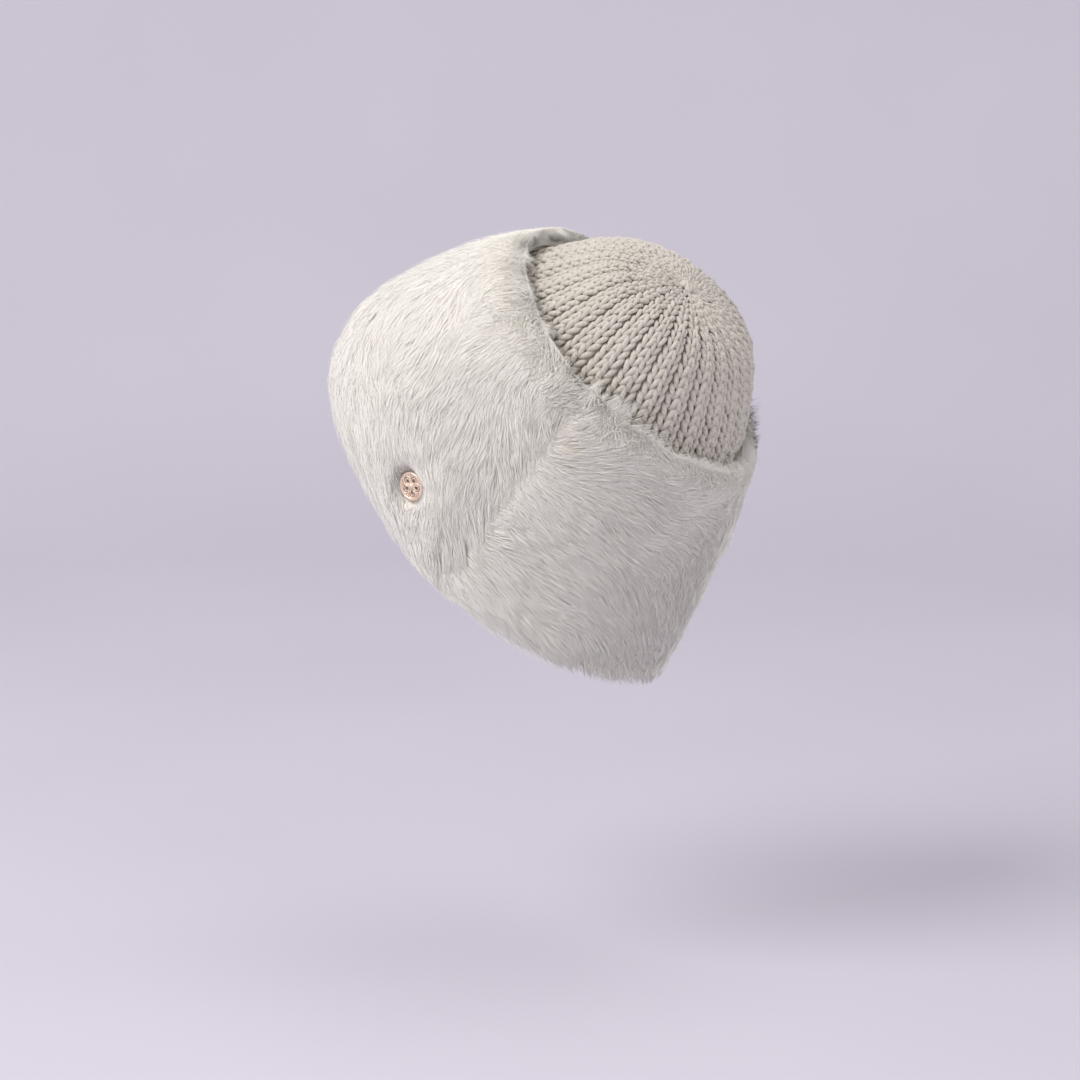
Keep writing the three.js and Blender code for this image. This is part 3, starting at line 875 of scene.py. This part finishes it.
def fringe_paths(rng):
    """Strands that lean from the band's upper part onto the knit: an uneven edge and pointed locks."""
    share, angle = scattered(rng, FRINGE_COUNT, FRINGE_LOW_SHARE, FRINGE_HIGH_SHARE)
    width = FRINGE_HIGH_SHARE - FRINGE_LOW_SHARE
    share = FRINGE_HIGH_SHARE - width * ((FRINGE_HIGH_SHARE - share) / width) ** FRINGE_CROWDING
    front, _ = from_seam(share, angle)
    share = np.where(front, np.minimum(share, FRONT_EDGE_SHARE), share)
    places = surface_point(BAND_RINGS, share, angle)
    uneven = FRINGE_EDGE_WEIGHT * ripples(places, FRINGE_EDGE_WAVE, FRINGE_EDGE_SEED)
    uneven = uneven + rng.normal(0, FRINGE_EDGE_RAGGED, FRINGE_COUNT)
    crown_share = FRINGE_CROWN_SHARE + FRINGE_CROWN_SPREAD * uneven
    lean = FRINGE_LEAN * ripples(places, FRINGE_LEAN_WAVE, FRINGE_LEAN_SEED)
    crown_angle = angle + (lean + rng.normal(0, FRINGE_ASIDE, FRINGE_COUNT))
    limit = FRINGE_REACH * rng.uniform(*FRINGE_REACH_RANGE, FRINGE_COUNT)
    for lock in LOCKS_OVER_KNIT:
        for side in (1, -1):
            count = lock["count"]
            middle = side * math.radians(lock["angle"])
            share = np.append(share, rng.uniform(LOCK_ROOT_SHARE, FRINGE_HIGH_SHARE, count))
            angle = np.append(angle, middle + rng.normal(0, LOCK_SPREAD, count))
            crown_share = np.append(crown_share, lock["reach"] - np.abs(rng.normal(0, LOCK_RAGGED, count)))
            crown_angle = np.append(crown_angle, middle + rng.normal(0, LOCK_POINT_SPREAD, count))
            limit = np.append(limit, np.full(count, np.inf))
    depth = fur_depth(share, angle)
    root = band_point(share, angle, PIECE_GAP + np.maximum(depth - PILE_SUNK, PILE_FLOOR) - ROOT_SINK)
    at_rear = smooth_step(*FRINGE_REAR_ANGLES, folded_angle(angle))
    tip_height = rng.uniform(*FRINGE_TIP_HEIGHTS, len(share)) * (1 - FRINGE_REAR_LOWER * at_rear)
    goal = offset_point(CROWN_RINGS, crown_share, crown_angle, tip_height)
    lifted = PIECE_GAP + depth + rng.uniform(0, FRINGE_HEIGHT, len(share)) * (1 - at_rear)
    over = band_point(share + FRINGE_LIFT_SHARE, (angle + crown_angle) / 2, lifted)
    cut = np.minimum(1, limit / np.linalg.norm(goal - root, axis=-1))[:, None]
    return np.stack([root, over, over + (goal - over) * cut], axis=1), share, angle


def make_strands(paths, radii, tones, out, share, angle):
    """The strands as six pieces: brow, temple and nape, left and right."""
    clear = ~over_ornament(paths)
    front, _ = from_seam(share, angle)
    left = np.sin(angle) >= 0
    brow = front & (folded_angle(angle) < BROW_ANGLE)
    sectors = (("brow", "front", brow), ("temple", "front", front & ~brow), ("nape", "back", ~front))
    for sector, panel, on_sector in sectors:
        for side, on_side in (("left", left), ("right", ~left)):
            kept = on_sector & on_side & clear
            points, triangles, normals = spindles(paths[kept], radii[kept], STRAND_SIDES, out[kept])
            tone = spread_over(tones[kept], STRAND_SIDES)
            name = f"fur_{sector}_{side}"
            make_piece(name, points, triangles, "fur", f"fur_{panel}", tone, normals=normals)


def make_fur():
    """Strands all over the band, gathered into tufts, and the fringe over the knit."""
    rng = np.random.default_rng(FUR_SEED)
    share, angle = scattered(rng, STRAND_COUNT, 0, 1 + FUR_UPPER_OVERHANG)
    roots = surface_point(BAND_RINGS, share, angle)
    tuft_count = int(BAND_AREA / TUFT_SPACING ** 2)
    tuft_share, tuft_angle = scattered(rng, tuft_count, 0, 1 + FUR_UPPER_OVERHANG)
    tuft_points = surface_point(BAND_RINGS, tuft_share, tuft_angle)
    tuft = nearest_tuft(roots, tuft_points)
    tuft_lean = rng.normal(0, TUFT_SPREAD, tuft_count)
    tuft_height = rng.normal(0, TIP_SPREAD, tuft_count)
    tuft_tone = rng.normal(0, TUFT_TONE_SPREAD, tuft_count)

    front, reach = from_seam(share, angle)
    share = np.where(front, np.minimum(share, FRONT_EDGE_SHARE), share)
    length = np.where(front, STRAND_LENGTH_FRONT, STRAND_LENGTH_BACK)
    length = length * rng.uniform(*STRAND_LENGTH_RANGE, STRAND_COUNT) * kept_length(front, reach, roots)
    turn = nap_turn(share, angle, roots) + tuft_lean[tuft] + rng.normal(0, HAIR_SPREAD, STRAND_COUNT)
    height = TIP_PROUD + tuft_height[tuft] + rng.normal(0, TIP_SPREAD / 2, STRAND_COUNT)
    stray_height = STRAY_HEIGHT * rng.uniform(0, 1, STRAND_COUNT)
    stray = rng.uniform(0, 1, STRAND_COUNT) < STRAY_SHARE
    height += stray_height * stray
    paths = strand_paths(share, angle, turn, length, height)

    tuft_turn = nap_turn(tuft_share, tuft_angle, tuft_points) + tuft_lean
    tuft_front, _ = from_seam(tuft_share, tuft_angle)
    tuft_length = np.where(tuft_front, STRAND_LENGTH_FRONT, STRAND_LENGTH_BACK)
    tuft_paths = strand_paths(tuft_share, tuft_angle, tuft_turn, tuft_length, TIP_PROUD + tuft_height)
    gather = TUFT_PULL + SEAM_TUFT_PULL * seam_lock(front, reach)
    pull = gather[:, None] * np.array(STRAND_STATIONS) ** TUFT_PULL_POWER
    same_panel = (front == tuft_front[tuft])[:, None, None]
    pulled = paths + (tuft_paths[tuft] - paths) * pull[:, :, None]
    paths = np.where(same_panel, pulled, paths)
    for shortened in ORNAMENT_SHORTENINGS:
        over = over_ornament(paths)
        shorter = shortened * length[over]
        paths[over] = strand_paths(share[over], angle[over], turn[over], shorter, height[over])

    fringe, fringe_share, fringe_angle = fringe_paths(rng)
    paths = np.concatenate([paths, fringe])
    share = np.concatenate([share, fringe_share])
    angle = np.concatenate([angle, fringe_angle])
    count = len(paths)
    strand_tone = np.concatenate([tuft_tone[tuft], np.zeros(len(fringe))])
    strand_tone = strand_tone + rng.normal(0, HAIR_TONE_SPREAD, count)
    tones = np.array(STRAND_TONES)[None] + strand_tone[:, None] - PARTING_SHADE * parting(paths)
    radii = np.array(STRAND_SWELL) * rng.uniform(*STRAND_RADIUS_RANGE, count)[:, None] * STRAND_RADIUS
    out = outward(BAND_RINGS, share, angle)
    out[STRAND_COUNT:] = unit(out[STRAND_COUNT:] + np.array([0, 0, FRINGE_FACES_UP]))
    make_strands(paths, radii, tones, out, share, angle)


# Knit crown

def rib_depth(turn):
    """How far the knit sinks towards a groove, by the share of a rib's width from 0 to 1."""
    edge = 2 * np.abs(turn - 0.5)
    return smooth_step(1 - KNIT_BASE_GROOVE_WIDTH * GROOVE_SHARE, 1, edge)


def row_shares(angle):
    """Shares of even stitch rows along one meridian of the crown, and the height of a row."""
    shares = np.linspace(FIRST_ROW_SHARE, LAST_ROW_SHARE, ROW_SAMPLES)
    points = surface_point(CROWN_RINGS, shares, np.full(shares.shape, angle))
    lengths = np.concatenate([[0], np.cumsum(np.linalg.norm(np.diff(points, axis=0), axis=1))])
    even = np.linspace(0, lengths[-1], ROW_COUNT + 1)
    return np.interp(even, lengths, shares), lengths[-1] / ROW_COUNT


crown_tilt = math.radians(CROWN_RINGS[-1]["tilt"])
crown_middle = np.array([0, CROWN_RINGS[-1]["y"], CROWN_RINGS[-1]["z"]])
crown_out = np.array([0, math.sin(crown_tilt), math.cos(crown_tilt)])
crown_back = np.array([0, math.cos(crown_tilt), -math.sin(crown_tilt)])


def closing_paths(along):
    """Thick stitches that cross the middle of the crown and draw it together."""
    paths = []
    for i in range(CLOSING_COUNT):
        turn = math.pi * i / CLOSING_COUNT
        across = math.cos(turn) * crown_back + math.sin(turn) * np.array([1, 0, 0])
        beside = np.cross(crown_out, across) * CLOSING_ASIDE * (-1) ** i
        reach = CLOSING_REACH * (2 * along - 1)[:, None]
        lift = CLOSING_LIFT - CLOSING_DROP * (2 * along - 1)[:, None] ** 2
        paths.append(crown_middle + beside + reach * across + lift * crown_out)
    return np.array(paths)


def with_closings(legs, closings):
    """Values of all legs, followed by those of the closing stitches."""
    return np.concatenate([legs, np.broadcast_to(closings, (CLOSING_COUNT, *legs.shape[1:]))])


def wales_on(rib, pitch):
    """Columns of stitches on a rib: their two sides in rib widths, and how deep each side sinks.

    Where the ribs are narrow, one column covers one, two or four of them.
    """
    if pitch > DOUBLE_WALE_PITCH:
        margin = 0.5 * GROOVE_SHARE
        return (margin, 0.5, 1, HOLE_LINE_SINK), (0.5, 1 - margin, HOLE_LINE_SINK, 1)
    covered = 1 if pitch > SINGLE_WALE_PITCH else 2 if pitch > HALF_WALE_PITCH else 4
    if rib % covered:
        return ()
    return ((WALE_MARGIN, covered - WALE_MARGIN, 1, 1),)


def stitch_legs():
    """The two legs of every stitch, as one column of values for each measure."""
    legs = []
    for rib in range(RIB_COUNT):
        middle = 2 * math.pi * (rib + 0.5) / RIB_COUNT
        rib_edges = np.array([middle - RIB_STEP / 2, middle + RIB_STEP / 2])
        shares, row_height = row_shares(middle)
        phase = RIB_PHASE * (rib % 2)
        for row in range(ROW_COUNT):
            rise = shares[row + 1] - shares[row]
            share = shares[row] + phase * rise
            edges = surface_point(CROWN_RINGS, np.full(2, share), rib_edges)
            pitch = np.linalg.norm(edges[1] - edges[0])
            for low, high, low_sink, high_sink in wales_on(rib, pitch):
                for side, sink in ((-1, low_sink), (1, high_sink)):
                    legs.append((middle, share, rise, low, high, side, sink, pitch, row_height))
    return [np.array(column)[:, None] for column in zip(*legs)]


def make_knit():
    """The legs of all stitches as short strands of yarn, with the closing stitches on top."""
    rng = np.random.default_rng(YARN_SEED)
    along = np.array(YARN_STATIONS)
    middle, share, rise, low, high, side, sink, pitch, row_height = stitch_legs()
    count = len(middle)
    wale_middle = (low + high) / 2
    wale_half = (high - low) / 2
    shift = rng.normal(0, YARN_ASIDE_SPREAD, (count, 1))
    spread = YARN_FOOT_ASIDE + (YARN_HEAD_ASIDE - YARN_FOOT_ASIDE) * along
    aside = side * wale_half * spread + shift * wale_half
    uneven = rng.normal(0, YARN_RISE_SPREAD, (count, 1)) * rise
    shares = share + rise * (YARN_OVERLAP * along - YARN_START) + uneven
    shares = np.minimum(shares, YARN_LAST_SHARE)
    angles = middle + (wale_middle + aside - 0.5) * RIB_STEP
    wale_width = pitch * (high - low)
    thickness = np.clip(YARN_WALE_SHARE * wale_width, YARN_RADIUS_SMALL, YARN_RADIUS)
    thickness = thickness * rng.uniform(*YARN_RADIUS_RANGE, (count, 1))
    arch = sink * spread ** 2
    sunk = thickness + GROOVE_SINK * arch + np.array(YARN_DIVE) * YARN_DIVE_DEPTH
    sunk = sunk + rng.normal(0, YARN_SINK_SPREAD, (count, 1))
    paths = with_closings(offset_point(CROWN_RINGS, shares, angles, -sunk), closing_paths(along))
    swell = np.array(YARN_SWELL)
    radii = with_closings(thickness * swell, CLOSING_RADIUS * swell)
    middle_station = len(along) // 2
    out = outward(CROWN_RINGS, shares[:, middle_station], angles[:, middle_station])
    points, triangles, _ = spindles(paths, radii, YARN_SIDES, with_closings(out, crown_out))
    tone = YARN_TONE - YARN_DIVE_SHADE * np.array(YARN_DIVE)[None] - YARN_GROOVE_SHADE * arch
    tone = tone + rng.normal(0, YARN_TONE_SPREAD, (count, 1))
    distance = with_closings(along[None] * row_height * YARN_OVERLAP, along * 2 * CLOSING_REACH)
    sides_round = np.tile(np.arange(YARN_SIDES) / YARN_SIDES, len(along) - 2)
    around_turn = np.tile(np.concatenate([[0, 0], sides_round]), count + CLOSING_COUNT)
    tones = spread_over(with_closings(tone, YARN_TONE), YARN_SIDES)
    extra = {"along": spread_over(distance, YARN_SIDES), "around": around_turn}
    make_piece("knit_stitches", points, triangles, "knit", "knit_crown", tones, extra)


def make_knit_base():
    """The fabric behind the stitches: a ribbed dome, hollow inside. Its outer face is painted darker than the
    yarn as shade between the stitches, and darker still as painted shade in the grooves.
    """
    columns = RIB_COUNT * COLUMNS_A_RIB
    shares = np.linspace(0, KNIT_BASE_TOP_SHARE, KNIT_BASE_ROWS)
    shares, angles = np.meshgrid(shares, 2 * math.pi * np.arange(columns) / columns, indexing="ij")
    turn = (angles / (2 * math.pi) * RIB_COUNT) % 1
    sunk = KNIT_BASE_SINK + KNIT_BASE_GROOVE * rib_depth(turn)
    outer = offset_point(CROWN_RINGS, shares, angles, -sunk)
    inner = offset_point(CROWN_RINGS, shares, angles, np.full(shares.shape, -KNIT_WALL))
    points, triangles = wall_between(outer, inner, True)
    # Painted shade: the ground is darker than the yarn, and darker still in the grooves
    ground_shaded_tones = KNIT_GROUND_SHADED_TONE - KNIT_BASE_SHADE * rib_depth(turn).ravel()
    tones = np.concatenate([ground_shaded_tones, np.full(ground_shaded_tones.shape, KNIT_INSIDE_TONE)])
    untwisted = np.zeros(len(points))
    extra = {"along": untwisted, "around": untwisted}
    make_piece("knit_ground", points, triangles, "knit", "knit_crown", tones, extra)


# Ornament

def on_seat(points):
    """Points given aside, up and out of the ornament's seat, in the shared frame."""
    return seat + points[:, :1] * seat_aside + points[:, 1:2] * seat_up + points[:, 2:] * seat_out


def wire_ring(radius, wire, grid, narrowing=1.0):
    """A ring of round wire, narrower in one direction if asked."""
    sections, sides = grid
    turns = 2 * math.pi * np.arange(sides) / sides
    rolls = 2 * math.pi * np.arange(sections) / sections
    reach = radius + wire * np.cos(rolls)[None, :]
    x = reach * np.cos(turns)[:, None]
    y = reach * np.sin(turns)[:, None] * narrowing
    z = np.broadcast_to(wire * np.sin(rolls)[None, :], x.shape)
    points = np.stack([x, y, z], -1).reshape(-1, 3)
    index = np.arange(sides * sections).reshape(sides, sections)
    after = np.roll(index, -1, axis=0)
    over = np.roll(index, -1, axis=1)
    both = np.roll(after, -1, axis=1)
    return points, halved(np.stack([index, after, both, over], -1).reshape(-1, 4))


def turned(profile, sides):
    """A closed turned shape from radius and height pairs that start and end on the axis."""
    turns = 2 * math.pi * np.arange(sides) / sides
    rings = [np.array([[0, 0, profile[0][1]]])]
    for radius, height in profile[1:-1]:
        rings.append(np.stack([radius * np.cos(turns), radius * np.sin(turns), np.full(sides, height)], -1))
    rings.append(np.array([[0, 0, profile[-1][1]]]))
    points = np.concatenate(rings)
    return points, faces_of_rings(0, len(points) - 1, 1, len(profile) - 2, sides)


def moved(shape, turn, reach, height):
    """A shape pushed out from the ornament's axis, turned round it and raised."""
    points, triangles = shape
    spin = np.array(Matrix.Rotation(turn, 3, "Z"))
    return (points + np.array([reach, 0, 0])) @ spin.T + np.array([0, 0, height]), triangles


def make_ornament():
    """A wire rim with petals, leaves and beads round a domed middle on its post."""
    rim_radius = ORNAMENT_RADIUS - RIM_WIRE
    petal_reach = rim_radius / 2
    rim = wire_ring(rim_radius, RIM_WIRE, RIM_GRID)
    petal = wire_ring(petal_reach - PETAL_WIRE, PETAL_WIRE, PETAL_GRID, PETAL_NARROWING)
    leaf = wire_ring(LEAF_RADIUS, LEAF_WIRE, LEAF_GRID, PETAL_NARROWING)
    ball = [(0, -BEAD_RADIUS)]
    ball += [(BEAD_RADIUS * math.sin(turn), -BEAD_RADIUS * math.cos(turn)) for turn in BEAD_TURNS]
    ball += [(0, BEAD_RADIUS)]
    bead = turned(ball, BEAD_SIDES)
    parts = [moved(rim, 0, 0, ORNAMENT_STAND)]
    for i in range(PETAL_COUNT):
        turn = 2 * math.pi * i / PETAL_COUNT
        between = turn + math.pi / PETAL_COUNT
        parts.append(moved(petal, turn, petal_reach, ORNAMENT_STAND))
        parts.append(moved(bead, between, ORNAMENT_RADIUS - BEAD_INSET, ORNAMENT_STAND))
        parts.append(moved(leaf, turn, petal_reach, ORNAMENT_STAND))
        parts.append(moved(leaf, between, LEAF_REACH, ORNAMENT_STAND - PETAL_WIRE))
    boss = [(0, -BACKING_WALL), (POST_RADIUS, -BACKING_WALL), (POST_RADIUS, ORNAMENT_STAND - RIM_WIRE)]
    boss += [(BOSS_RADIUS, ORNAMENT_STAND)]
    for turn in BOSS_TURNS:
        boss.append((BOSS_RADIUS * math.cos(turn), ORNAMENT_STAND + BOSS_HEIGHT * math.sin(turn)))
    boss += [(0, ORNAMENT_STAND + BOSS_HEIGHT)]
    parts.append(turned(boss, BOSS_SIDES))
    points, triangles = joined(parts)
    make_piece("ornament_rosette", on_seat(points), triangles, "ornament", "ornament")


# Stage

def make_stage():
    """A pale floor that sweeps up into a backdrop behind the object."""
    back = -look_from()
    away = Vector((back.x, back.y, 0)).normalized()
    across = Vector((-away.y, away.x, 0))
    profile = [(FLOOR_FRONT, 0.0), (FLOOR_BACK, 0.0)]
    for turn in np.linspace(BACKDROP_FIRST_TURN, math.pi / 2, BACKDROP_STEPS):
        reach = FLOOR_BACK + BACKDROP_RADIUS * math.sin(turn)
        profile.append((reach, BACKDROP_RADIUS * (1 - math.cos(turn))))
    profile.append((FLOOR_BACK + BACKDROP_RADIUS, BACKDROP_HEIGHT))
    points = []
    for reach, height in profile:
        for aside in (-FLOOR_HALF_WIDTH, FLOOR_HALF_WIDTH):
            points.append(away * reach + across * aside + Vector((0, 0, FLOOR_HEIGHT + height)))
    faces = [(2 * i, 2 * i + 2, 2 * i + 3, 2 * i + 1) for i in range(len(profile) - 1)]
    mesh = bpy.data.meshes.new("floor")
    mesh.from_pydata(points, [], faces)
    mesh.polygons.foreach_set("use_smooth", [True] * len(faces))
    mesh.materials.append(floor_material())
    floor = add_object("floor", mesh)


def make_light(name, place, size, power, colour):
    """A round soft light that faces the object."""
    data = bpy.data.lights.new(name, "AREA")
    data.shape = "DISK"
    data.size = size
    data.energy = power
    data.color = colour
    light = add_object(name, data)
    light.location = place
    light.rotation_euler = (CAMERA_TARGET - place).to_track_quat("-Z", "Y").to_euler()


def make_lights():
    """A large soft light from the upper left, weaker ones from above and the right, and a pale world."""
    towards = look_from()
    left = Vector((towards.y, -towards.x, 0)).normalized()
    up = Vector((0, 0, 1))
    for light in LIGHTS:
        place = left * light["left"] + towards * light["towards"] + up * light["up"]
        make_light(light["name"], place, light["size"], light["power"], light["colour"])
    world = bpy.data.worlds.new("studio")
    world.use_nodes = True
    background = world.node_tree.nodes["Background"]
    background.inputs["Color"].default_value = WORLD_COLOUR
    background.inputs["Strength"].default_value = WORLD_STRENGTH
    scene.world = world
    scene.view_settings.view_transform = "Standard"


make_camera()
make_backing()
make_pile("front")
make_pile("back")
make_fur()
make_knit_base()
make_knit()
make_ornament()
make_stage()
make_lights()
